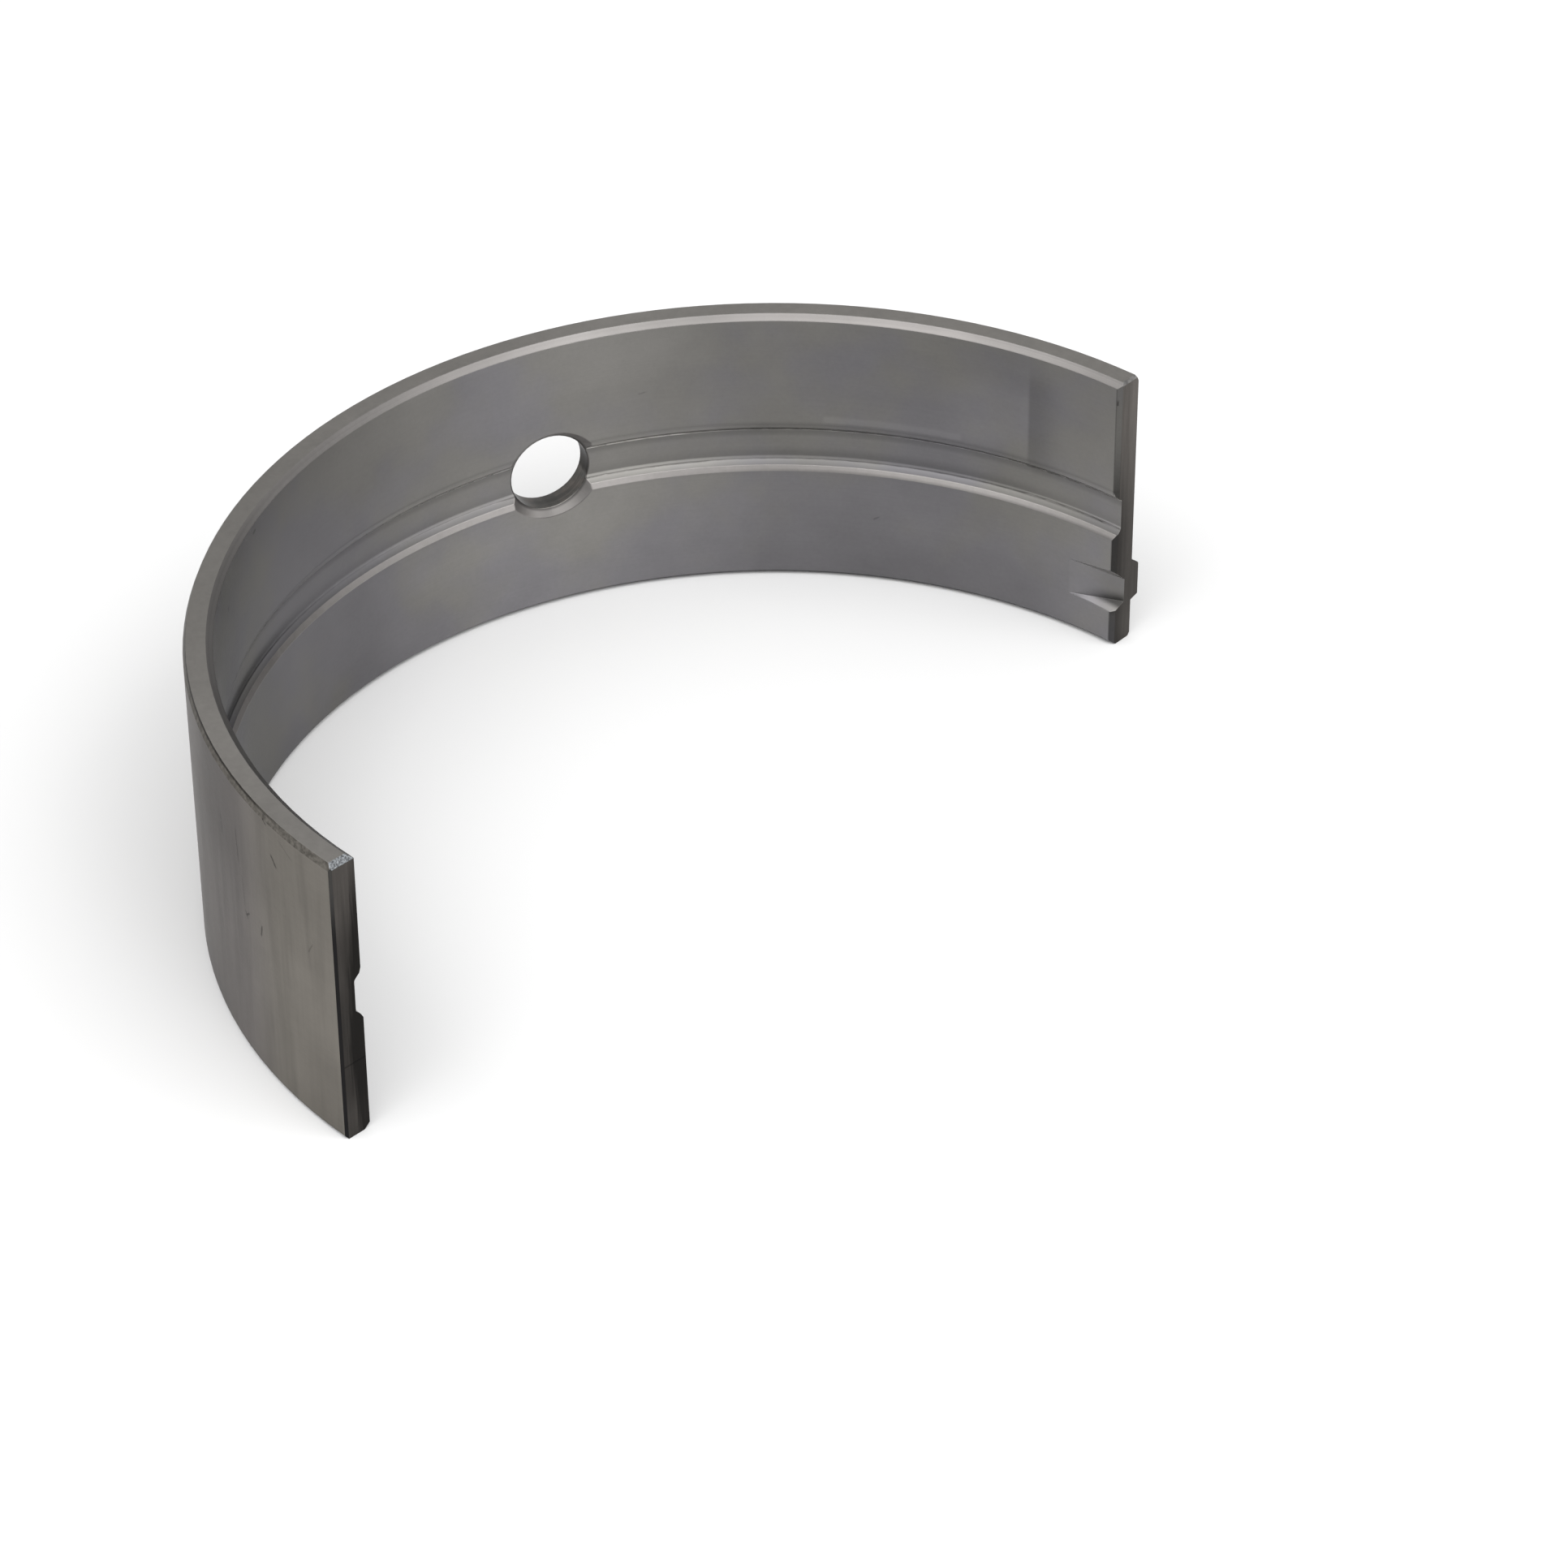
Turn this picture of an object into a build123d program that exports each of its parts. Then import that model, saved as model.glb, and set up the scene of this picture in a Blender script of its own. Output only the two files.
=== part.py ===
from build123d import *
import os
from math import sqrt

# Upper half shell of a crankshaft main bearing for a heavy-duty diesel engine.
# It is one thin steel strip, bent to a half circle, lined and machined all over.
# The bearing axis is +Z, the crown is at +Y and the locating lug is at the +X end.
# The shell stands on its lower end face, z = 0, and the origin is on the bearing axis.
# It is modelled out of its housing, so it has sprung open and spans less than half a turn.

# Driving dimensions in millimetres
HOUSING_BORE = 114.0
WALL = 3.0
WIDTH = 33.4
FREE_SPREAD = 2.1  # growth in outer diameter once the shell is out of its housing

# Chamfers round the two end faces
OUTER_CHAMFER_RADIAL = 0.3
UPPER_OUTER_CHAMFER_AXIAL = 0.75
LOWER_OUTER_CHAMFER_AXIAL = 0.4
INNER_CHAMFER_RADIAL = 0.7
INNER_CHAMFER_AXIAL = 0.6

# Oil groove round the whole bore, on the middle of the width.
# Each edge has a broken lip, shallow above and deeper below, then a flank down to the rounded floor.
GROOVE_WIDTH = 6.1
GROOVE_DEPTH = 0.87
GROOVE_LIP_WIDTH = 0.6
UPPER_LIP_DEPTH = 0.18
LOWER_LIP_DEPTH = 0.34
UPPER_FLANK_WIDTH = 0.62
LOWER_FLANK_WIDTH = 0.55
GROOVE_FLOOR_RADIUS = 0.4

# Oil feed hole through the groove, opened with a countersink on the bore side
OIL_HOLE_DIAMETER = 9.0
OIL_HOLE_ANGLE = 21.2  # degrees from the crown towards the lug
OIL_HOLE_CHAMFER = 0.75

# Locating lug, pushed out of the wall at the +X parting face
LUG_LOWER_EDGE = 4.6  # above the lower end face
LUG_WIDTH = 5.25
LUG_PROTRUSION = 1.15
LUG_LOWER_LEAN = 0.3  # how far each flank leans in towards the top of the lug
LUG_UPPER_LEAN = 0.9
LUG_UPPER_RADIUS = 0.5
LUG_FLAT_LENGTH = 1.7  # full height from the parting face to here, then a ramp down to the back
LUG_LENGTH = 5.0

# Print that the pressing punch leaves in the bore behind the lug, a ramp between two leaning flanks
RECESS_DEPTH = 1.85
RECESS_LENGTH = 5.9
RECESS_END_WIDTH = 4.4  # where the ramp runs out into the bore
RECESS_FACE_WIDTH = 2.9  # the ramp's width at the parting face
RECESS_FACE_RISE = 0.35  # how much higher the ramp's lower edge is there
RECESS_LOWER_LEAN = 0.65  # how far each flank spreads over the full depth
RECESS_UPPER_LEAN = 1.9

# Broken edges of the parting faces
LUG_END_BORE_EDGE = 0.45
PLAIN_END_BACK_EDGE = 0.27
LUG_END_TOP_EDGE = 0.3
PLAIN_END_TOP_EDGE_BACK = 0.5
PLAIN_END_TOP_EDGE_DOWN = 0.65

# Sizes that follow from the driving dimensions
installed_mid_radius = (HOUSING_BORE - WALL) / 2
back_radius = (HOUSING_BORE + FREE_SPREAD) / 2
bore_radius = back_radius - WALL
free_mid_radius = back_radius - WALL / 2
# Springing open keeps the length of the strip, so the angle shrinks as the radius grows
free_arc = 180.0 * installed_mid_radius / free_mid_radius
lug_end_angle = 90.0 - free_arc / 2
plain_end_angle = 90.0 + free_arc / 2
middle_height = WIDTH / 2
overcut = 2.0  # how far every cutting tool runs past the metal


def round_corners(section, corners, radius):
    """Round these corners of a flat section."""
    return fillet([section.vertices().sort_by_distance(corner)[0] for corner in corners], radius)


def ring_section():
    """Section of the shell, radius along X and height along Z, with the groove and the end chamfers."""
    groove_floor = bore_radius + GROOVE_DEPTH
    groove_top = middle_height + GROOVE_WIDTH / 2
    groove_bottom = middle_height - GROOVE_WIDTH / 2
    upper_floor_corner = (groove_floor, groove_top - GROOVE_LIP_WIDTH - UPPER_FLANK_WIDTH)
    lower_floor_corner = (groove_floor, groove_bottom + GROOVE_LIP_WIDTH + LOWER_FLANK_WIDTH)
    outline = [
        (bore_radius + INNER_CHAMFER_RADIAL, 0),
        (back_radius - OUTER_CHAMFER_RADIAL, 0),
        (back_radius, LOWER_OUTER_CHAMFER_AXIAL),
        (back_radius, WIDTH - UPPER_OUTER_CHAMFER_AXIAL),
        (back_radius - OUTER_CHAMFER_RADIAL, WIDTH),
        (bore_radius + INNER_CHAMFER_RADIAL, WIDTH),
        (bore_radius, WIDTH - INNER_CHAMFER_AXIAL),
        (bore_radius, groove_top),
        (bore_radius + UPPER_LIP_DEPTH, groove_top - GROOVE_LIP_WIDTH),
        upper_floor_corner,
        lower_floor_corner,
        (bore_radius + LOWER_LIP_DEPTH, groove_bottom + GROOVE_LIP_WIDTH),
        (bore_radius, groove_bottom),
        (bore_radius, INNER_CHAMFER_AXIAL),
    ]
    section = make_face(Polyline(*outline, close=True))
    section = round_corners(section, [upper_floor_corner, lower_floor_corner], GROOVE_FLOOR_RADIUS)
    return Plane.XZ * section


def curved_strip():
    """The grooved strip, turned through the free arc with its crown at +Y."""
    return Rot(0, 0, lug_end_angle) * revolve(ring_section(), Axis.Z, free_arc)


def oil_hole():
    """Drill and countersink for the oil feed, along the radius through the hole's centre."""
    drill_radius = OIL_HOLE_DIAMETER / 2
    drill = Cylinder(drill_radius, WALL + 2 * overcut, align=(Align.CENTER, Align.CENTER, Align.MIN))
    drill = Pos(0, 0, bore_radius - overcut) * drill
    # The cone is carried on towards the axis, at 45 degrees, to clear the hollow of the bore
    cone = Cone(
        drill_radius + OIL_HOLE_CHAMFER + overcut,
        drill_radius,
        OIL_HOLE_CHAMFER + overcut,
        align=(Align.CENTER, Align.CENTER, Align.MIN),
    )
    cone = Pos(0, 0, bore_radius - overcut) * cone
    # The tool is made pointing up, laid over to point along +X, then turned to its place
    along_radius = Rot(0, 90, 0) * (drill + cone)
    return Pos(0, 0, middle_height) * (Rot(0, 0, 90.0 - OIL_HOLE_ANGLE) * along_radius)


def plan_prism(outline):
    """Prism of a plan outline given as (radius, distance into the arc), run past both end faces."""
    face = Pos(0, 0, -overcut) * make_face(Polyline(*outline, close=True))
    return extrude(face, WIDTH + 2 * overcut, dir=(0, 0, 1))


def to_lug_end(tool):
    """Turn a tool made at the +X axis on to the lug's parting face."""
    return Rot(0, 0, lug_end_angle) * tool


def to_plain_end(tool):
    """Mirror a tool made at the +X axis and turn it on to the plain parting face."""
    return Rot(0, 0, plain_end_angle) * mirror(tool, Plane.XZ)


def locating_lug():
    """Lug on the back: flanks that lean in towards its top and a ramp that runs out along the arc."""
    root = back_radius - WALL / 2
    top = back_radius + LUG_PROTRUSION
    upper_edge = LUG_LOWER_EDGE + LUG_WIDTH
    upper_corner = (top, upper_edge - LUG_UPPER_LEAN)
    outline = [
        (root, LUG_LOWER_EDGE),
        (back_radius, LUG_LOWER_EDGE),
        (top, LUG_LOWER_EDGE + LUG_LOWER_LEAN),
        upper_corner,
        (back_radius, upper_edge),
        (root, upper_edge),
    ]
    section = round_corners(make_face(Polyline(*outline, close=True)), [upper_corner], LUG_UPPER_RADIUS)
    flanks = extrude(Plane.XZ * section, LUG_LENGTH, dir=(0, 1, 0))
    ramp = plan_prism([(root, 0), (top, 0), (top, LUG_FLAT_LENGTH), (root, LUG_LENGTH)])
    return to_lug_end(flanks & ramp)


def recess_section(distance):
    """Section of the punch at this distance into the arc, run on into the open bore."""
    # The ramp is a plane that meets the curved bore one recess length in from the parting face
    deepest = bore_radius + RECESS_DEPTH
    end_radius = sqrt(bore_radius**2 - RECESS_LENGTH**2)
    share = distance / RECESS_LENGTH
    ramp = deepest + share * (end_radius - deepest)
    ramp_low = LUG_LOWER_EDGE + (1 - share) * RECESS_FACE_RISE
    ramp_high = ramp_low + RECESS_FACE_WIDTH + share * (RECESS_END_WIDTH - RECESS_FACE_WIDTH)
    reach = RECESS_DEPTH + overcut
    outline = [
        (ramp, ramp_low),
        (ramp, ramp_high),
        (ramp - reach, ramp_high + RECESS_UPPER_LEAN * reach / RECESS_DEPTH),
        (ramp - reach, ramp_low - RECESS_LOWER_LEAN * reach / RECESS_DEPTH),
    ]
    return Pos(0, distance, 0) * (Plane.XZ * make_face(Polyline(*outline, close=True)))


def lug_recess():
    """Print of the punch in the bore: deepest at the parting face, fading out along the arc."""
    sections = [recess_section(-overcut), recess_section(RECESS_LENGTH + overcut)]
    return to_lug_end(loft(sections, ruled=True))


def bore_edge_cut(leg):
    """Tool that breaks the edge between a parting face and the bore."""
    return plan_prism(
        [
            (bore_radius + leg + overcut, -overcut),
            (bore_radius - overcut, leg + overcut),
            (bore_radius - overcut, -overcut),
        ]
    )


def back_edge_cut(leg):
    """Tool that breaks the edge between a parting face and the back."""
    return plan_prism(
        [
            (back_radius - leg - overcut, -overcut),
            (back_radius + overcut, leg + overcut),
            (back_radius + overcut, -overcut),
        ]
    )


def top_edge_cut(back, down):
    """Tool that breaks the edge between a parting face and the upper end face."""
    tilt = down / back
    outline = [
        (back + overcut, WIDTH + tilt * overcut),
        (-overcut, WIDTH - down - tilt * overcut),
        (-overcut, WIDTH + tilt * overcut),
    ]
    face = Plane.YZ * make_face(Polyline(*outline, close=True))
    return Pos(bore_radius - overcut, 0, 0) * extrude(face, WALL + 2 * overcut, dir=(1, 0, 0))


def bearing_shell():
    """The whole shell, one solid."""
    shell = curved_strip() + locating_lug()
    shell -= lug_recess()
    shell -= oil_hole()
    shell -= to_lug_end(bore_edge_cut(LUG_END_BORE_EDGE))
    shell -= to_lug_end(top_edge_cut(LUG_END_TOP_EDGE, LUG_END_TOP_EDGE))
    shell -= to_plain_end(back_edge_cut(PLAIN_END_BACK_EDGE))
    shell -= to_plain_end(top_edge_cut(PLAIN_END_TOP_EDGE_BACK, PLAIN_END_TOP_EDGE_DOWN))
    return shell


os.makedirs("parts", exist_ok=True)
export_step(bearing_shell(), "parts/bearing_shell.step")
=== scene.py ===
import bpy
import math
from mathutils import Matrix, Vector

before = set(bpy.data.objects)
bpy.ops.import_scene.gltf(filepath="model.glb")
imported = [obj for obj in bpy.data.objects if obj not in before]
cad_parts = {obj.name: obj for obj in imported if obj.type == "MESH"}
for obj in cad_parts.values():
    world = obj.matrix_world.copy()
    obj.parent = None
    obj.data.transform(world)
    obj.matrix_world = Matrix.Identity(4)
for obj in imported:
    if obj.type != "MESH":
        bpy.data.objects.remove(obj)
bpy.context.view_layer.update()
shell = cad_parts["bearing_shell"]

MM_PER_METRE = 1000.0
WHITE = (1, 1, 1, 1)

# The camera as fitted to the photo: what it looks at, from where, and its lens
LOOK_AT = Vector((0.012763, 0.010397, 0.0))
AZIMUTH = math.radians(-46.45)
ELEVATION = math.radians(36.70)
ROLL = math.radians(-0.31)
DISTANCE = 0.6043
LENS_MM = 132.5
SENSOR_MM = 36.0
NEAREST_SEEN = 0.01
FARTHEST_SEEN = 20.0

# Light: the radiance of the walls and of each softbox (name, azimuth, elevation, width, height, radiance)
WORLD_STRENGTH = 0.98
SOFTBOXES = [
    ("left_softbox", 158, 50, 1.0, 0.7, 1.95),
    ("overhead_softbox", 222, 60, 1.1, 0.9, 2.8),
    ("right_softbox", 280, 48, 1.0, 0.9, 2.7),
]
SOFTBOX_DISTANCE = 1.2
FLOOR_ALBEDO = 0.6
FLOOR_HALF_SIZE = 3.0

# Sizes of the shell in millimetres, as in part.py
BORE_RADIUS = 55.05
BACK_RADIUS = 58.05
WIDTH = 33.4
MIDDLE_HEIGHT = WIDTH / 2
GROOVE_BOTTOM = 13.65
GROOVE_TOP = 19.75
GROOVE_LIP_WIDTH = 0.6
UPPER_FLANK_WIDTH = 0.62
LOWER_FLANK_WIDTH = 0.55
LOWER_LIP_TOP = GROOVE_BOTTOM + GROOVE_LIP_WIDTH
GROOVE_FLOOR_BOTTOM = LOWER_LIP_TOP + LOWER_FLANK_WIDTH
GROOVE_FLOOR_TOP = GROOVE_TOP - GROOVE_LIP_WIDTH - UPPER_FLANK_WIDTH
OIL_HOLE_RADIUS = 4.5
OIL_HOLE_CHAMFER = 0.75
OIL_HOLE_MOUTH = OIL_HOLE_RADIUS + OIL_HOLE_CHAMFER
OIL_HOLE_DIRECTION = math.radians(68.8)
PARTING_ANGLE = math.radians(1.671)  # of each parting face, from the X axis
EDGE_RADIUS_MM = 0.12  # the rounding of every edge, in the shading alone
EDGE_SAMPLES = 4

# Limits between which a surface passes from not facing a direction to facing it
FACING = (0.95, 0.98)
# Where a noise is taken to be at its low and its high end
NOISE_LOW = 0.3
NOISE_HIGH = 0.7

# Steel finish: how much light it gives back, then the colours that its surfaces lean to
BASE_TONE = 0.165
WARM = (1.03, 1.0, 0.945, 1)
LAVENDER = (1.015, 0.99, 1.035, 1)
RIM_TINT = (1.045, 1.0, 0.935, 1)
BACK_TINT = (1.075, 1.0, 0.89, 1)
DULL_BACK_TINT = (1.08, 1.0, 0.96, 1)
PARTING_TINT = (1.1, 1.0, 0.92, 1)
PALE_TINT = (1.04, 0.992, 0.96, 1)
BLUISH_TINT = (0.95, 1.0, 1.05, 1)
# How much each side still gives back at a glancing angle
LINING_GLANCE = (0.75, 0.75, 0.75, 1)
BACK_GLANCE = (0.6, 0.6, 0.6, 1)
LINING_ROUGHNESS = 0.34
BACK_ROUGHNESS = 0.4
COUNTERSINK_ROUGHER = 0.2
PUNCHED_FLANK_ROUGHER = 0.4

# Relief of the finishes in millimetres
GRAIN_RELIEF = 0.0012
TURNING_RELIEF = 0.0012
RUBBING_RELIEF = 0.0025
BROACHING_RELIEF = 0.006
HOLE_RING_RELIEF = 0.02
BORE_EDGE_RELIEF = 0.03
ROUGH_EDGE_RELIEF = 0.05

# Single marks: angle, height, length, width, tilt from upright in degrees, tone left in it
BACK_MARKS = [
    (161.4, 25.6, 2.6, 0.12, 3, 0.6),
    (162.2, 20.6, 2.2, 0.10, 4, 0.65),
    (169.15, 28.6, 0.9, 0.22, 40, 0.45),
    (167.9, 32.5, 0.5, 0.16, 60, 0.4),
    (162.9, 18.1, 0.7, 0.16, -50, 0.5),
    (162.6, 17.9, 0.6, 0.14, 35, 0.55),
    (165.8, 18.0, 0.9, 0.20, -12, 0.45),
    (157.4, 25.4, 1.5, 0.14, 5, 0.6),
    (171.4, 31.2, 1.4, 0.10, 60, 0.75),
    (174.6, 21.5, 1.0, 0.12, -30, 0.75),
    (155.2, 12.4, 1.6, 0.12, 8, 0.7),
]
BORE_MARKS = [
    (125.4, 28.7, 0.35, 0.22, 20, 0.5),
    (115.6, 31.9, 0.45, 0.25, 75, 0.55),
    (31.5, 8.2, 0.5, 0.14, 60, 0.75),
    (58.0, 24.9, 0.6, 0.12, 80, 0.8),
]
MARK_RAGGEDNESS = 0.1  # of their outlines, in millimetres


def direction(azimuth, elevation):
    """Unit vector that points up from the floor by elevation, over the azimuth from +X, in radians."""
    reach = math.cos(elevation)
    return Vector((math.cos(azimuth) * reach, math.sin(azimuth) * reach, math.sin(elevation)))


def add_camera():
    """Camera at the photo's viewpoint. Azimuth 0 looks along +Y."""
    ahead = direction(AZIMUTH + math.pi / 2, -ELEVATION)
    level = direction(AZIMUTH, 0.0)
    upright = level.cross(ahead)
    right = math.cos(ROLL) * level + math.sin(ROLL) * upright
    up = math.cos(ROLL) * upright - math.sin(ROLL) * level
    data = bpy.data.cameras.new("photo_camera")
    data.lens = LENS_MM
    data.sensor_width = SENSOR_MM
    data.clip_start = NEAREST_SEEN
    data.clip_end = FARTHEST_SEEN
    camera = bpy.data.objects.new("photo_camera", data)
    turn = Matrix((right, up, -ahead)).transposed().to_4x4()
    camera.matrix_world = Matrix.Translation(LOOK_AT - DISTANCE * ahead) @ turn
    bpy.context.scene.collection.objects.link(camera)
    bpy.context.scene.camera = camera


class Nodes:
    """Short calls that add nodes to one material. A value is a socket or a plain number."""

    def __init__(self, material):
        self.tree = material.node_tree

    def add(self, kind, inputs, **settings):
        node = self.tree.nodes.new(kind)
        for name, value in settings.items():
            setattr(node, name, value)
        for key, value in inputs.items():
            if isinstance(value, bpy.types.NodeSocket):
                self.tree.links.new(value, node.inputs[key])
            else:
                node.inputs[key].default_value = value
        return node

    def math(self, operation, *values):
        return self.add("ShaderNodeMath", dict(enumerate(values)), operation=operation).outputs[0]

    def size_of(self, value):
        return self.math("ABSOLUTE", value)

    def difference(self, value, taken):
        return self.math("SUBTRACT", value, taken)

    def other(self, mask):
        return self.difference(1.0, mask)

    def product(self, *values):
        return self.chain("MULTIPLY", values)

    def total(self, *values):
        return self.chain("ADD", values)

    def either(self, *masks):
        return self.chain("MAXIMUM", masks)

    def chain(self, operation, values):
        result = values[0]
        for value in values[1:]:
            result = self.math(operation, result, value)
        return result

    def vector(self, x, y, z):
        return self.add("ShaderNodeCombineXYZ", {0: x, 1: y, 2: z}).outputs[0]

    def split(self, vector):
        return self.add("ShaderNodeSeparateXYZ", {0: vector}).outputs

    def step(self, value, start, end):
        """0 at start and 1 at end, smooth between; start may be the larger."""
        node = self.add(
            "ShaderNodeMapRange",
            {"Value": value, "From Min": start, "From Max": end},
            interpolation_type="SMOOTHSTEP",
        )
        return node.outputs["Result"]

    def band(self, value, low, high, soft=0.05):
        """1 between low and high, 0 outside."""
        return self.product(self.step(value, low - soft, low), self.step(value, high + soft, high))

    def remap(self, value, start, end, low, high):
        node = self.add(
            "ShaderNodeMapRange",
            {"Value": value, "From Min": start, "From Max": end, "To Min": low, "To Max": high},
        )
        return node.outputs["Result"]

    def vary(self, noise, low, high):
        """A value that follows a noise from low to high."""
        return self.remap(noise, NOISE_LOW, NOISE_HIGH, low, high)

    def noise(self, vector, scale, detail, roughness):
        node = self.add(
            "ShaderNodeTexNoise",
            {"Vector": vector, "Scale": scale, "Detail": detail, "Roughness": roughness},
        )
        return node.outputs["Fac"]

    def blend(self, factor, low, high):
        """low where factor is 0, high where it is 1."""
        node = self.add("ShaderNodeMix", {0: factor, 2: low, 3: high}, data_type="FLOAT")
        return node.outputs[0]

    def where(self, mask, factor):
        """The factor where the mask is 1, and 1 where it is 0."""
        return self.blend(mask, 1.0, factor)

    def colour_blend(self, factor, low, high):
        node = self.add("ShaderNodeMix", {0: factor, 6: low, 7: high}, data_type="RGBA")
        return node.outputs[2]


class Place:
    """Where a shaded point is on the shell, in millimetres and degrees, and which way it faces."""

    def __init__(self, g):
        where = g.add("ShaderNodeTexCoord", {})
        metres = {0: where.outputs["Object"], "Scale": MM_PER_METRE}
        point = g.add("ShaderNodeVectorMath", metres, operation="SCALE")
        x, y, z = g.split(point.outputs[0])
        nx, ny, nz = g.split(where.outputs["Normal"])
        self.y, self.z, self.nz = y, z, nz
        self.radius = g.math("SQRT", g.total(g.product(x, x), g.product(y, y)))
        self.angle = g.math("DEGREES", g.math("ARCTAN2", y, x))
        self.arc = g.product(g.math("RADIANS", self.angle), BORE_RADIUS)
        # Which way it faces: away from the axis, and along the arc
        self.outward = g.math("DIVIDE", g.total(g.product(nx, x), g.product(ny, y)), self.radius)
        self.along = g.math("DIVIDE", g.difference(g.product(ny, x), g.product(nx, y)), self.radius)
        # How far it is from the nearer parting face, and whether that is the one with the lug
        self.from_end = g.difference(
            g.product(y, math.cos(PARTING_ANGLE)),
            g.product(g.size_of(x), math.sin(PARTING_ANGLE)),
        )
        self.lug_side = g.step(x, -5.0, 5.0)
        # Around the oil hole's axis: beside it, above it, and out along it
        across = g.difference(
            g.product(x, math.sin(OIL_HOLE_DIRECTION)),
            g.product(y, math.cos(OIL_HOLE_DIRECTION)),
        )
        up = g.difference(z, MIDDLE_HEIGHT)
        self.from_hole = g.math("SQRT", g.total(g.product(across, across), g.product(up, up)))
        self.hole_turn = g.math("DEGREES", g.math("ARCTAN2", up, across))
        self.hole_height = g.total(
            g.product(x, math.cos(OIL_HOLE_DIRECTION)),
            g.product(y, math.sin(OIL_HOLE_DIRECTION)),
        )


class Regions:
    """Masks, 1 on one surface of the shell and 0 off it."""

    def __init__(self, g, at):
        self.find_ends(g, at)
        self.find_hole(g, at)
        arc_surface = g.product(
            g.step(g.size_of(at.along), 0.3, 0.2), g.other(self.hole_wall), g.other(self.countersink)
        )
        self.find_bore(g, at, arc_surface)
        self.find_recess(g, at)

    def find_ends(self, g, at):
        """Parting faces with their broken edges, end face, back and outer chamfer."""
        self.parting = g.step(g.size_of(at.along), 0.93, 0.97)
        self.lug_parting = g.product(self.parting, at.lug_side)
        self.plain_parting = g.product(self.parting, g.other(at.lug_side))
        edge_zone = g.product(g.step(at.from_end, 0.7, 0.6), g.other(self.parting))
        slanted = g.band(g.size_of(at.along), 0.5, 0.9)
        self.bore_edge = g.product(edge_zone, slanted, g.step(at.outward, -0.4, -0.6))
        self.back_edge = g.product(edge_zone, slanted, g.step(at.outward, 0.4, 0.6))
        self.top_edge = g.product(edge_zone, slanted, g.step(at.nz, 0.4, 0.55))
        self.rim = g.product(g.step(at.nz, *FACING), g.step(at.z, WIDTH - 0.2, WIDTH - 0.1))
        at_back = g.step(at.radius, BACK_RADIUS - 0.2, BACK_RADIUS - 0.1)
        self.back = g.product(g.step(at.outward, *FACING), at_back)
        self.outer_chamfer = g.product(g.band(at.outward, 0.85, 0.945, 0.02), g.band(at.nz, 0.3, 0.5))

    def find_hole(self, g, at):
        """The oil hole's wall and its countersink, a 45 degree cone."""
        crown_side = g.step(at.y, 40.0, 42.0)
        near_hole = g.product(g.step(at.from_hole, OIL_HOLE_MOUTH + 0.3, OIL_HOLE_MOUTH + 0.2), crown_side)
        in_hole = g.step(at.from_hole, OIL_HOLE_RADIUS + 0.08, OIL_HOLE_RADIUS + 0.03)
        self.hole_wall = g.product(near_hole, in_hole)
        off_cone = g.difference(g.total(at.from_hole, at.hole_height), BORE_RADIUS + OIL_HOLE_MOUTH)
        on_cone = g.step(g.size_of(off_cone), 0.1, 0.05)
        self.countersink = g.product(near_hole, g.other(self.hole_wall), on_cone)

    def find_bore(self, g, at, arc_surface):
        """Inner chamfer, the groove's lower lip and its flanks, and the lining with the groove's floor."""
        faces_axis = g.step(at.outward, -0.3, -0.5)
        at_top = g.step(at.z, WIDTH - 0.7, WIDTH - 0.6)
        self.inner_chamfer = g.product(arc_surface, at_top, g.band(at.nz, 0.6, 0.9))
        self.lower_lip = g.product(
            arc_surface,
            g.band(at.z, GROOVE_BOTTOM, LOWER_LIP_TOP),
            g.step(at.radius, BORE_RADIUS + 0.6, BORE_RADIUS + 0.5),
        )
        self.lower_flank = g.product(
            arc_surface,
            g.band(at.z, LOWER_LIP_TOP, GROOVE_FLOOR_BOTTOM + 0.1),
            g.step(at.nz, 0.5, 0.7),
            g.step(at.radius, BORE_RADIUS + 1.0, BORE_RADIUS + 0.9),
        )
        self.upper_flank = g.product(
            arc_surface, g.band(at.z, GROOVE_FLOOR_TOP - 0.1, GROOVE_TOP), faces_axis
        )
        shaped = g.either(self.inner_chamfer, self.lower_lip, self.lower_flank)
        self.inside = g.product(faces_axis, g.other(shaped))

    def find_recess(self, g, at):
        """The print of the punch in the bore, behind the lug."""
        self.recess = g.product(
            at.lug_side,
            g.step(at.from_end, 7.0, 6.6),
            g.band(at.z, 3.4, 11.2),
            g.band(at.radius, BORE_RADIUS + 0.08, BACK_RADIUS - 0.9),
            g.other(self.parting),
            g.other(self.bore_edge),
        )
        self.recess_lower_flank = g.product(self.recess, g.step(at.nz, 0.6, 0.8))
        self.recess_upper_flank = g.product(self.recess, g.step(at.nz, -0.2, -0.4))


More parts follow.
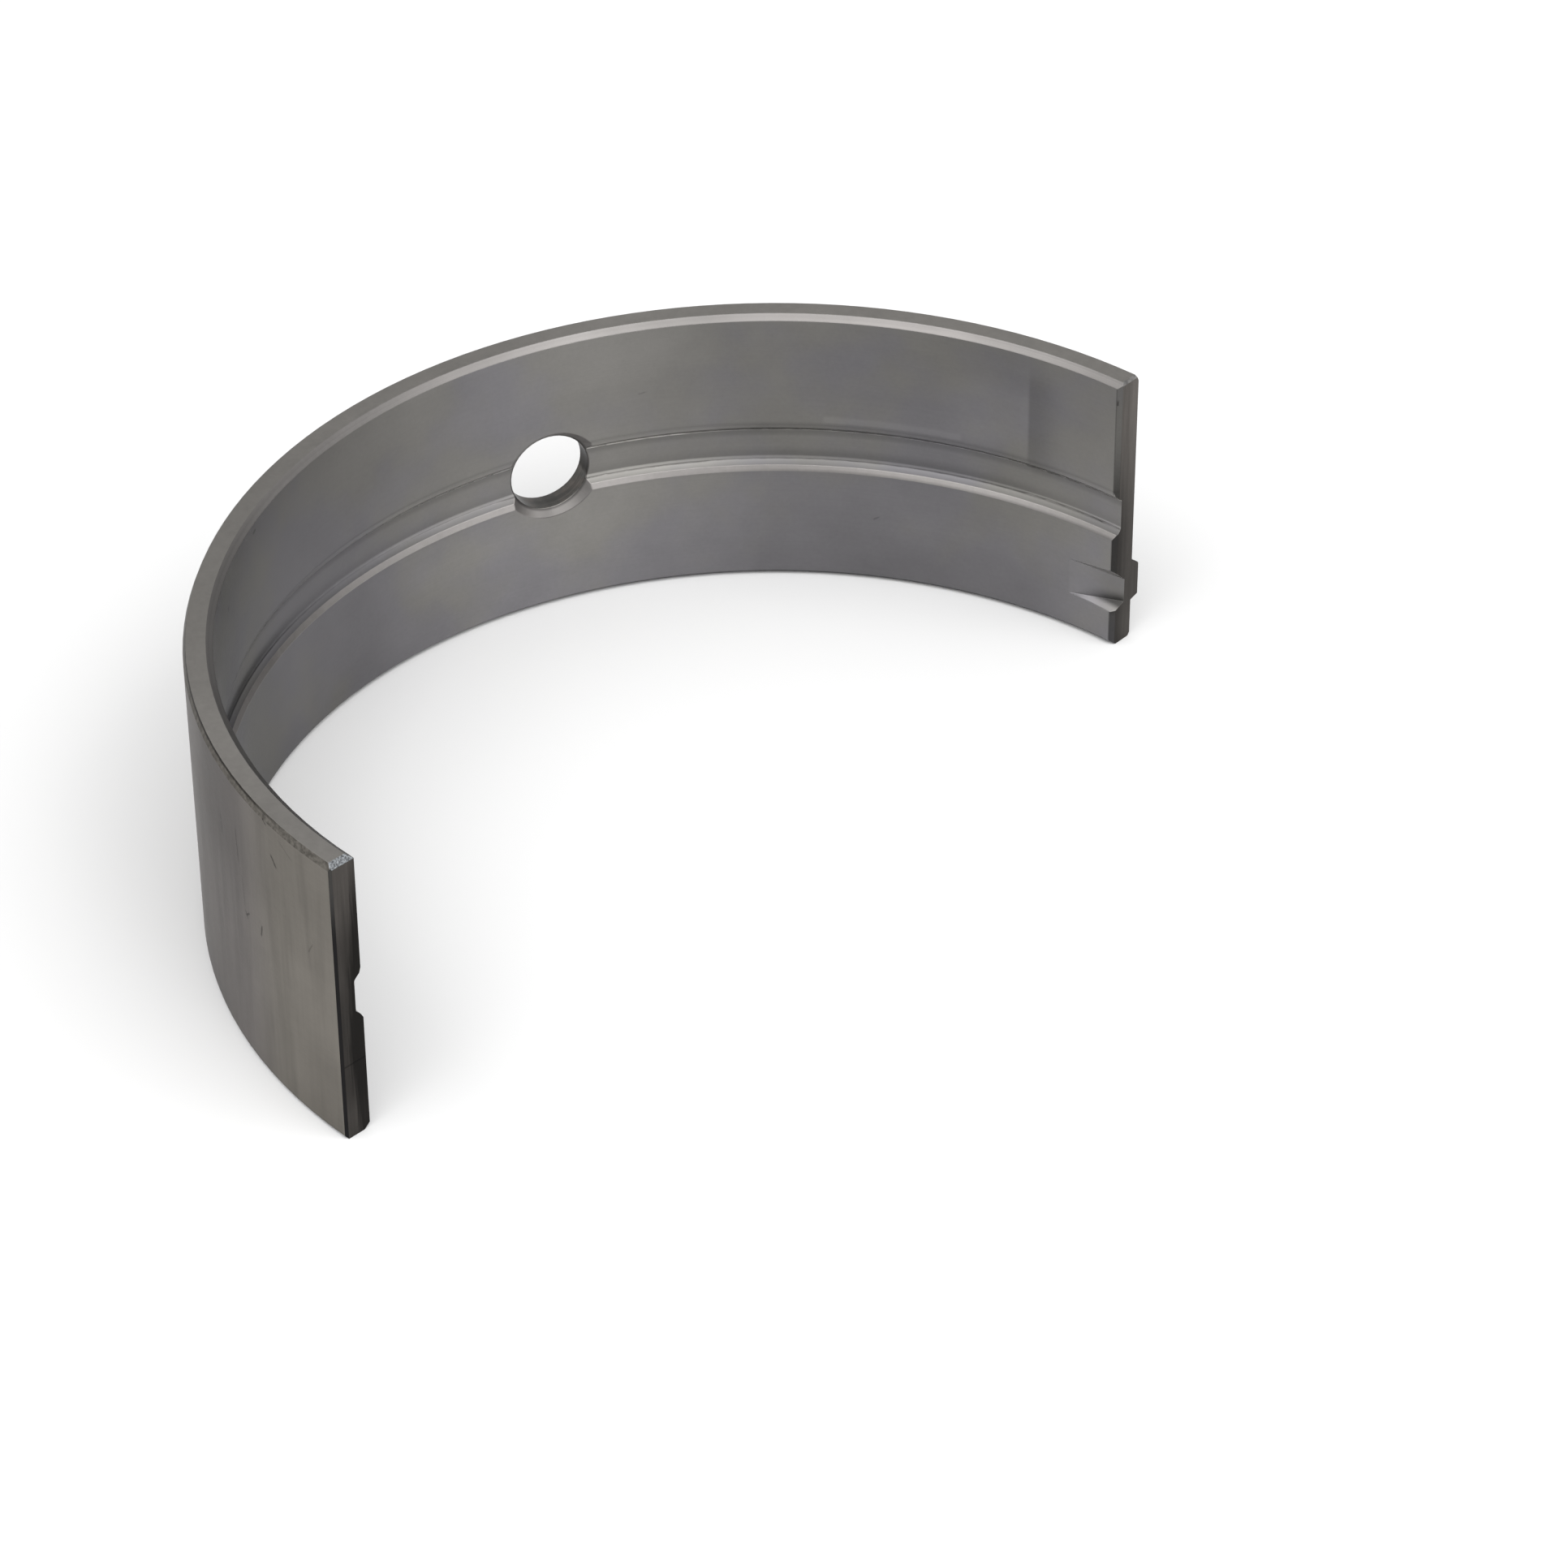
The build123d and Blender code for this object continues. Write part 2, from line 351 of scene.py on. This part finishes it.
class Patterns:
    """Grain, clouds, machining lines and stains, each a noise from 0 to 1."""

    def __init__(self, g, at):
        sheet = g.vector(at.arc, at.z, at.radius)
        other_sheet = g.vector(at.arc, at.z, g.total(at.radius, 40.0))
        self.cloud = g.noise(sheet, scale=0.06, detail=3.0, roughness=0.55)
        self.patch = g.noise(other_sheet, scale=0.16, detail=3.0, roughness=0.6)
        self.grain = g.noise(sheet, scale=2.2, detail=3.0, roughness=0.6)
        self.mottle = g.noise(sheet, scale=0.9, detail=4.0, roughness=0.65)
        self.fine = g.noise(sheet, scale=5.0, detail=2.0, roughness=0.6)
        # Drawn out along the arc, upright, or around the hole
        turned = g.vector(g.product(at.arc, 0.02), g.product(at.z, 5.0), g.product(at.radius, 5.0))
        rubbed = g.vector(g.product(at.arc, 2.2), g.product(at.z, 0.05), 3.0)
        stained = g.vector(g.product(at.arc, 0.45), g.product(at.z, 0.04), 9.0)
        broached = g.vector(g.product(at.radius, 3.2), g.product(at.z, 0.12), g.product(at.lug_side, 9.0))
        ringed = g.vector(g.product(at.radius, 2.4), g.product(at.hole_turn, 0.005), 5.0)
        spotted = g.vector(g.product(at.radius, 0.5), g.product(at.hole_turn, 0.04), 1.0)
        self.turning = g.noise(turned, scale=1.0, detail=3.0, roughness=0.6)
        self.upright = g.noise(rubbed, scale=1.0, detail=4.0, roughness=0.65)
        self.stain = g.noise(stained, scale=1.0, detail=3.0, roughness=0.55)
        self.broach = g.noise(broached, scale=1.0, detail=3.0, roughness=0.6)
        self.hole_bands = g.noise(ringed, scale=1.0, detail=3.0, roughness=0.6)
        self.hole_patch = g.noise(spotted, scale=1.0, detail=3.0, roughness=0.6)


def mark_tone(g, at, pattern, marks, radius):
    """Tone left by single scratches and dents, with ragged outlines."""
    ragged = g.remap(pattern.fine, 0.0, 1.0, -MARK_RAGGEDNESS, MARK_RAGGEDNESS)
    mm_per_degree = math.radians(1) * radius
    tone = 1.0
    for angle, height, length, width, tilt, left in marks:
        side = g.product(g.difference(at.angle, angle), mm_per_degree)
        up = g.difference(at.z, height)
        cos, sin = math.cos(math.radians(tilt)), math.sin(math.radians(tilt))
        over = g.size_of(g.total(g.product(side, cos), g.product(up, sin), ragged))
        down = g.size_of(g.difference(g.product(up, cos), g.product(side, sin)))
        hit = g.product(g.step(over, width, width * 0.3), g.step(down, length, length * 0.5))
        tone = g.product(tone, g.where(hit, left))
    return tone


def lining_tone(g, at, pattern):
    """Painted reflection and shade on the lining: brightest on the lug's side of the crown, painted shade
    towards the plain end.
    """
    # Painted reflection: lighter round the crown, low down past it and at the lug end
    crown_painted_reflection = g.product(g.step(at.angle, 42.0, 70.0), g.step(at.angle, 98.0, 72.0))
    low_painted_reflection = g.product(g.band(at.angle, 52.0, 84.0, 14.0), g.step(at.z, 13.8, 13.2))
    lug_end = g.step(at.angle, 18.0, 3.0)
    # Painted shade towards the plain end, most of all low down
    plain_end = g.step(at.angle, 106.0, 124.0)
    plain_end_low = g.product(g.step(at.angle, 120.0, 129.0), g.step(at.z, 25.0, 21.0))
    dark_band = g.product(
        g.step(at.angle, 13.8, 13.3), g.step(at.angle, 8.8, 13.0), g.band(at.z, 20.5, 28.5, 4.0)
    )
    beside_band = g.product(
        g.step(at.angle, 13.3, 13.8), g.step(at.angle, 26.0, 18.0), g.band(at.z, 22.0, 26.5, 3.0)
    )
    # A painted highlight just above the groove's upper edge
    painted_edge_highlight = g.product(g.band(at.angle, 22.0, 37.4, 0.5), g.band(at.z, 20.2, 20.6, 0.4))
    end_line = g.product(
        g.band(at.from_end, 0.46, 0.54, 0.05),
        at.lug_side,
        g.step(at.radius, BORE_RADIUS + 0.12, BORE_RADIUS + 0.08),
    )
    return g.product(
        g.blend(crown_painted_reflection, 0.92, 1.2),
        g.remap(at.z, 10.0, 26.0, 1.06, 0.98),
        g.where(low_painted_reflection, 1.1),
        g.where(lug_end, 1.2),
        g.where(plain_end, g.remap(at.z, 17.0, 31.0, 0.72, 1.15)),
        g.where(plain_end_low, 0.8),
        g.where(dark_band, 0.8),
        g.where(beside_band, 1.12),
        g.where(painted_edge_highlight, 1.12),
        g.where(end_line, 0.6),
        g.vary(pattern.patch, 0.95, 1.05),
        g.vary(pattern.turning, 0.985, 1.015),
        mark_tone(g, at, pattern, BORE_MARKS, BORE_RADIUS),
    )


def groove_shade(g, at, on):
    """A soft shade on both sides of the groove's upper edge and in its lower corner, whose fillet is lit."""
    in_groove = g.product(
        g.step(at.radius, BORE_RADIUS + 0.4, BORE_RADIUS + 0.5),
        g.step(at.z, 13.0, 13.5),
        g.other(on.countersink),
    )
    above_edge = g.product(g.other(in_groove), g.band(at.z, GROOVE_TOP, GROOVE_TOP + 0.1, 0.3))
    under_edge = g.product(in_groove, g.step(at.z, 17.5, 18.2), g.other(on.upper_flank))
    low_corner = g.product(in_groove, g.step(at.z, 16.5, 15.3))
    lug_side_shade = g.blend(g.band(at.angle, 18.0, 40.0, 12.0), 0.9, 0.78)
    corner_shade = g.blend(g.step(at.angle, 100.0, 125.0), lug_side_shade, 0.3)
    fillet = g.product(in_groove, g.band(at.z, 14.92, 15.05, 0.17))
    lug_side_light = g.blend(g.band(at.angle, 56.0, 68.0, 10.0), 1.7, 2.1)
    fillet_light = g.blend(g.step(at.angle, 82.0, 102.0), lug_side_light, 1.2)
    return g.product(
        g.where(above_edge, 0.86),
        g.where(under_edge, 0.79),
        g.where(low_corner, corner_shade),
        g.where(fillet, fillet_light),
    )


def inner_chamfer_tone(g, at, pattern):
    """Painted shade at both ends and for a stretch on the lug's side of the crown."""
    plain_end = g.step(at.angle, 106.0, 128.0)
    lug_end = g.step(at.angle, 9.0, 3.0)
    darker_stretch = g.band(at.angle, 40.0, 84.0, 12.0)
    darkest = g.band(at.angle, 52.0, 58.0, 9.0)
    return g.product(
        g.vary(pattern.turning, 0.78, 0.9),
        g.blend(plain_end, 1.06, 0.66),
        g.where(lug_end, 0.9),
        g.where(darker_stretch, 0.92),
        g.blend(darkest, 1.06, 0.82),
    )


def lower_lip_tone(g, at):
    """Painted highlight, brightest by the lug, with a darker foot there."""
    away_from_lug = g.step(at.angle, 22.0, 42.0)
    from_crown_on = g.step(at.angle, 60.0, 78.0)
    foot = g.step(at.z, GROOVE_BOTTOM + 0.35, GROOVE_BOTTOM + 0.05)
    foot_tone = g.blend(g.step(at.angle, 35.0, 60.0), 0.7, 1.0)
    return g.product(
        g.blend(away_from_lug, 2.0, 1.36),
        g.where(from_crown_on, 1.16),
        g.where(foot, foot_tone),
    )


def lower_flank_tone(g, at):
    """Painted reflection: lighter towards the groove's floor and past the crown."""
    darker_stretch = g.band(at.angle, 28.0, 40.0, 12.0)
    past_crown = g.step(at.angle, 85.0, 98.0)
    return g.product(
        g.blend(darker_stretch, 0.57, 0.47),
        g.where(past_crown, 1.25),
        g.remap(at.z, LOWER_LIP_TOP + 0.05, GROOVE_FLOOR_BOTTOM, 0.86, 1.25),
    )


def upper_flank_tone(g, at):
    """Painted light: a little on its lip, much more on the flank below it as far as the crown, a middling
    amount past the crown.
    """
    past_crown = g.step(at.angle, 78.0, 100.0)
    darker_stretch = g.band(at.angle, 13.0, 44.0, 8.0)
    below_lip = g.band(at.z, 18.52, 19.0, 0.1)
    return g.product(
        g.blend(past_crown, g.blend(below_lip, 1.2, 2.7), 1.4),
        g.where(darker_stretch, 0.8),
    )


def recess_tones(g, at, on):
    """The punch's print: painted light on its flanks with painted shadow deep in the lower one, and painted
    shade on a floor that darkens to the end and in its lower corner.
    """
    deep_painted_shadow = g.step(at.radius, 55.5, 56.3)
    lower_flank = g.product(g.blend(g.step(at.from_end, 5.5, 3.0), 1.6, 2.5), g.where(deep_painted_shadow, 0.3))
    floor = g.blend(g.step(at.from_end, 4.5, 1.0), 1.02, 0.82)
    floor_corner_shadow = g.product(
        on.recess, g.step(at.nz, 0.5, 0.3), g.step(at.z, 6.4, 4.9), g.step(at.radius, 55.3, 56.4)
    )
    return [
        (on.recess_lower_flank, lower_flank),
        (on.recess_upper_flank, 2.4),
        (on.recess, floor),
        (floor_corner_shadow, 0.5),
    ]


def rim_tone(g, at, pattern):
    """End face: faint specks and patches, a little duller past the crown."""
    darker_stretch = g.band(at.angle, 90.0, 135.0, 20.0)
    return g.product(
        g.vary(pattern.mottle, 0.95, 1.05),
        g.vary(pattern.patch, 0.97, 1.05),
        g.blend(darker_stretch, 1.1, 0.99),
    )


def back_tone(g, at, pattern):
    """Upright rubbing streaks, some dark, and painted shade on a patch away from the plain end."""
    stained = g.step(pattern.stain, 0.45, 0.7)
    stain_tone = g.blend(g.step(at.angle, 130.0, 145.0), 0.96, 0.88)
    # Painted shade short of the plain end and painted light by it
    by_plain_end = g.step(at.angle, 150.0, 164.0)
    painted_shade_patch = g.product(g.band(at.angle, 153.0, 161.0, 4.0), g.step(at.z, 17.0, 25.0))
    low_corner = g.product(g.step(at.angle, 171.0, 175.0), g.step(at.z, 13.0, 7.0))
    return g.product(
        g.vary(pattern.upright, 0.965, 1.03),
        g.vary(pattern.turning, 0.98, 1.02),
        g.vary(pattern.patch, 0.95, 1.05),
        g.blend(stained, 1.02, stain_tone),
        g.blend(by_plain_end, 0.94, 1.06),
        g.remap(at.z, 14.0, 28.0, 1.12, 0.92),
        g.where(painted_shade_patch, 0.78),
        g.where(low_corner, 0.88),
    )


def outer_chamfer_tone(g, at, pattern):
    """Grainy, with painted shade over the plain half, and a dark line along the end face."""
    plain_half = g.step(at.angle, 125.0, 145.0)
    short_of_end = g.step(at.angle, 166.0, 150.0)
    dark_grain_and_shade = g.blend(plain_half, 0.65, 0.48)
    rim_line = g.product(g.step(at.z, WIDTH - 0.3, WIDTH - 0.15), g.step(at.angle, 172.0, 164.0))
    return g.product(
        g.remap(pattern.grain, 0.35, 0.65, dark_grain_and_shade, 0.85),
        g.where(short_of_end, 0.9),
        g.where(rim_line, g.blend(plain_half, 0.6, 0.3)),
    )


def lug_face_tone(g, at, pattern):
    """The parting face with the lug: broached, with painted shade below and towards the bore."""
    upper_part = g.step(at.z, 12.0, 30.0)
    bore_side = g.product(g.step(at.radius, 56.4, 56.0), g.step(at.z, 24.0, 14.0))
    back_side = g.step(at.radius, 56.5, 57.4)
    foot = g.step(at.z, 5.0, 2.5)
    return g.product(
        g.vary(pattern.broach, 0.86, 1.12),
        g.blend(upper_part, 0.28, 0.6),
        g.where(bore_side, 0.7),
        g.blend(back_side, 0.88, 1.15),
        g.where(foot, 1.2),
    )


def plain_face_tone(g, at, pattern):
    """The plain parting face: its dark half is widest a third of the way up."""
    widening = g.product(g.size_of(g.difference(at.z, 11.0)), 0.085)
    ragged = g.vary(pattern.broach, -0.3, 0.3)
    outer_half = g.step(g.total(at.radius, widening, ragged), 56.7, 57.5)
    clean_ends = g.total(g.step(at.z, 22.0, 31.0), g.product(g.step(at.z, 6.0, 2.0), 0.5))
    lit_corner = g.product(g.step(at.radius, 56.8, 57.4), g.band(at.z, 20.0, 26.0, 4.0))
    scratch = g.band(at.z, 8.8, 8.9, 0.1)
    return g.product(
        g.vary(pattern.broach, 0.86, 1.12),
        g.blend(outer_half, 0.068, 0.2),
        g.where(clean_ends, 1.9),
        g.where(lit_corner, 1.3),
        g.where(scratch, 0.55),
    )


def broken_edge_tones(g, at, on, pattern):
    """The parting faces' broken edges: dark below, nicked and scratched at the top."""
    nicks = g.product(
        g.band(at.z, 29.6, 31.0, 0.6), g.step(pattern.mottle, 0.5, 0.56), g.step(at.from_end, 0.25, 0.35)
    )
    upper_part = g.step(at.z, 16.0, 28.0)
    foot = g.step(at.z, 5.0, 3.5)
    bore_edge = g.product(g.blend(upper_part, 0.17, 0.6), g.where(foot, 1.8), g.where(nicks, 0.45))
    back_edge = g.blend(g.step(at.z, 24.0, 31.0), 0.1, 0.3)
    scratched = g.remap(pattern.fine, 0.36, 0.62, 0.35, 1.25)
    rough_break = g.remap(pattern.mottle, 0.4, 0.6, 0.7, 1.35)
    return [
        (on.bore_edge, bore_edge),
        (on.back_edge, back_edge),
        (on.top_edge, g.blend(at.lug_side, scratched, rough_break)),
    ]


def hole_tones(g, at, on, pattern):
    """A dull wall with rings and lighter patches, and a countersink shaded low and along its inner edge."""
    wall = g.product(
        g.vary(pattern.hole_bands, 0.34, 0.5),
        g.remap(pattern.hole_patch, 0.4, 0.65, 0.9, 1.25),
    )
    low_side = g.band(at.hole_turn, -95.0, -50.0, 25.0)
    inner_edge = g.step(at.from_hole, OIL_HOLE_RADIUS + 0.3, OIL_HOLE_RADIUS + 0.1)
    sink = g.product(g.where(low_side, 0.6), g.where(inner_edge, 0.5))
    return [(on.hole_wall, wall), (on.countersink, sink)]


def steel_tone(g, at, on, pattern, edge):
    """How much light the steel gives back: a base tone, and on each surface a factor of its own."""
    tone = g.product(
        BASE_TONE,
        g.vary(pattern.cloud, 0.94, 1.06),
        g.vary(pattern.grain, 0.97, 1.03),
        g.where(edge, g.remap(pattern.mottle, 0.35, 0.65, 0.97, 1.15)),
    )
    surfaces = [
        (on.inside, g.product(lining_tone(g, at, pattern), groove_shade(g, at, on))),
        (on.inner_chamfer, inner_chamfer_tone(g, at, pattern)),
        (on.lower_lip, lower_lip_tone(g, at)),
        (on.lower_flank, lower_flank_tone(g, at)),
        (on.upper_flank, upper_flank_tone(g, at)),
        *recess_tones(g, at, on),
        (on.rim, rim_tone(g, at, pattern)),
        (on.back, back_tone(g, at, pattern)),
        (g.either(on.back, on.outer_chamfer), mark_tone(g, at, pattern, BACK_MARKS, BACK_RADIUS)),
        (on.outer_chamfer, outer_chamfer_tone(g, at, pattern)),
        (on.lug_parting, lug_face_tone(g, at, pattern)),
        (on.plain_parting, plain_face_tone(g, at, pattern)),
        *broken_edge_tones(g, at, on, pattern),
        *hole_tones(g, at, on, pattern),
    ]
    for mask, factor in surfaces:
        tone = g.product(tone, g.where(mask, factor))
    return tone


def steel_tint(g, at, on, pattern):
    """The colour that each surface leans to."""
    warm = g.step(g.total(pattern.cloud, g.product(at.z, 0.006)), 0.5, 0.72)
    dull = g.step(at.angle, 170.0, 160.0)
    brown = g.product(on.hole_wall, g.step(pattern.hole_patch, 0.45, 0.6))
    plain_top_edge = g.product(on.top_edge, g.other(at.lug_side))
    surfaces = [
        (on.rim, RIM_TINT),
        (on.back, g.colour_blend(dull, BACK_TINT, DULL_BACK_TINT)),
        (on.outer_chamfer, BACK_TINT),
        (on.parting, PARTING_TINT),
        (g.either(on.inner_chamfer, on.lower_lip, on.countersink), PALE_TINT),
        (brown, PARTING_TINT),
        (plain_top_edge, BLUISH_TINT),
    ]
    tint = g.colour_blend(warm, LAVENDER, WARM)
    for mask, colour in surfaces:
        tint = g.colour_blend(mask, tint, colour)
    return tint


def steel_height(g, on, pattern):
    """Relief in millimetres."""
    return g.total(
        g.product(pattern.turning, on.inside, TURNING_RELIEF),
        g.product(pattern.upright, on.back, RUBBING_RELIEF),
        g.product(pattern.grain, GRAIN_RELIEF),
        g.product(pattern.broach, on.parting, BROACHING_RELIEF),
        g.product(pattern.mottle, on.outer_chamfer, ROUGH_EDGE_RELIEF),
        g.product(pattern.mottle, on.bore_edge, BORE_EDGE_RELIEF),
        g.product(pattern.mottle, on.top_edge, ROUGH_EDGE_RELIEF),
        g.product(pattern.hole_bands, on.hole_wall, HOLE_RING_RELIEF),
    )


def steel_roughness(g, on, pattern):
    return g.total(
        g.blend(on.back, LINING_ROUGHNESS, BACK_ROUGHNESS),
        g.product(on.countersink, COUNTERSINK_ROUGHER),
        g.product(on.recess_lower_flank, PUNCHED_FLANK_ROUGHER),
        g.vary(pattern.grain, -0.02, 0.02),
        g.vary(pattern.patch, -0.03, 0.03),
    )


def steel_material():
    material = bpy.data.materials.new("bearing_steel_finish")
    material.use_nodes = True
    g = Nodes(material)
    shader = material.node_tree.nodes["Principled BSDF"]
    at = Place(g)
    on = Regions(g, at)
    pattern = Patterns(g, at)

    # An edge is where the rounded shading turns away from the flat face
    radius = {"Radius": EDGE_RADIUS_MM / MM_PER_METRE}
    rounded = g.add("ShaderNodeBevel", radius, samples=EDGE_SAMPLES).outputs[0]
    flat = g.add("ShaderNodeNewGeometry", {}).outputs["Normal"]
    turned = g.add("ShaderNodeVectorMath", {0: rounded, 1: flat}, operation="DOT_PRODUCT")
    edge = g.step(turned.outputs["Value"], 0.995, 0.9)

    tone = steel_tone(g, at, on, pattern, edge)
    tint = steel_tint(g, at, on, pattern)
    colour = g.add("ShaderNodeVectorMath", {0: tint, "Scale": tone}, operation="SCALE").outputs[0]
    relief = {
        "Height": steel_height(g, on, pattern),
        "Distance": 1 / MM_PER_METRE,
        "Strength": 1.0,
        "Normal": rounded,
    }
    outer = g.either(on.back, on.outer_chamfer)
    made = {
        "Base Color": colour,
        "Specular Tint": g.colour_blend(outer, LINING_GLANCE, BACK_GLANCE),
        "Roughness": steel_roughness(g, on, pattern),
        "Normal": g.add("ShaderNodeBump", relief).outputs[0],
    }
    for name, value in made.items():
        material.node_tree.links.new(value, shader.inputs[name])
    shader.inputs["Metallic"].default_value = 1.0
    return material


def add_floor():
    side = FLOOR_HALF_SIZE
    corners = [(-side, -side, 0), (side, -side, 0), (side, side, 0), (-side, side, 0)]
    mesh = bpy.data.meshes.new("floor")
    mesh.from_pydata(corners, [], [(0, 1, 2, 3)])
    floor = bpy.data.objects.new("floor", mesh)
    bpy.context.scene.collection.objects.link(floor)
    material = bpy.data.materials.new("floor_white")
    material.use_nodes = True
    shader = material.node_tree.nodes["Principled BSDF"]
    shader.inputs["Base Color"].default_value = (FLOOR_ALBEDO, FLOOR_ALBEDO, FLOOR_ALBEDO, 1)
    shader.inputs["Roughness"].default_value = 1.0
    shader.inputs["Specular IOR Level"].default_value = 0.0
    mesh.materials.append(material)


def add_softbox(name, azimuth, elevation, width, height, radiance):
    """A light panel that faces the shell, with an even radiance over its face."""
    data = bpy.data.lights.new(name, "AREA")
    data.shape = "RECTANGLE"
    data.size = width
    data.size_y = height
    data.energy = radiance * math.pi * width * height
    away = direction(math.radians(azimuth), math.radians(elevation))
    light = bpy.data.objects.new(name, data)
    light.location = SOFTBOX_DISTANCE * away
    light.rotation_euler = away.to_track_quat("Z", "Y").to_euler()
    bpy.context.scene.collection.objects.link(light)


def add_world():
    world = bpy.data.worlds.new("studio")
    world.use_nodes = True
    background = world.node_tree.nodes["Background"]
    background.inputs["Color"].default_value = WHITE
    background.inputs["Strength"].default_value = WORLD_STRENGTH
    bpy.context.scene.world = world
    bpy.context.scene.view_settings.view_transform = "Standard"


add_camera()
add_floor()
add_world()
for softbox in SOFTBOXES:
    add_softbox(*softbox)
shell.material_slots[0].material = steel_material()
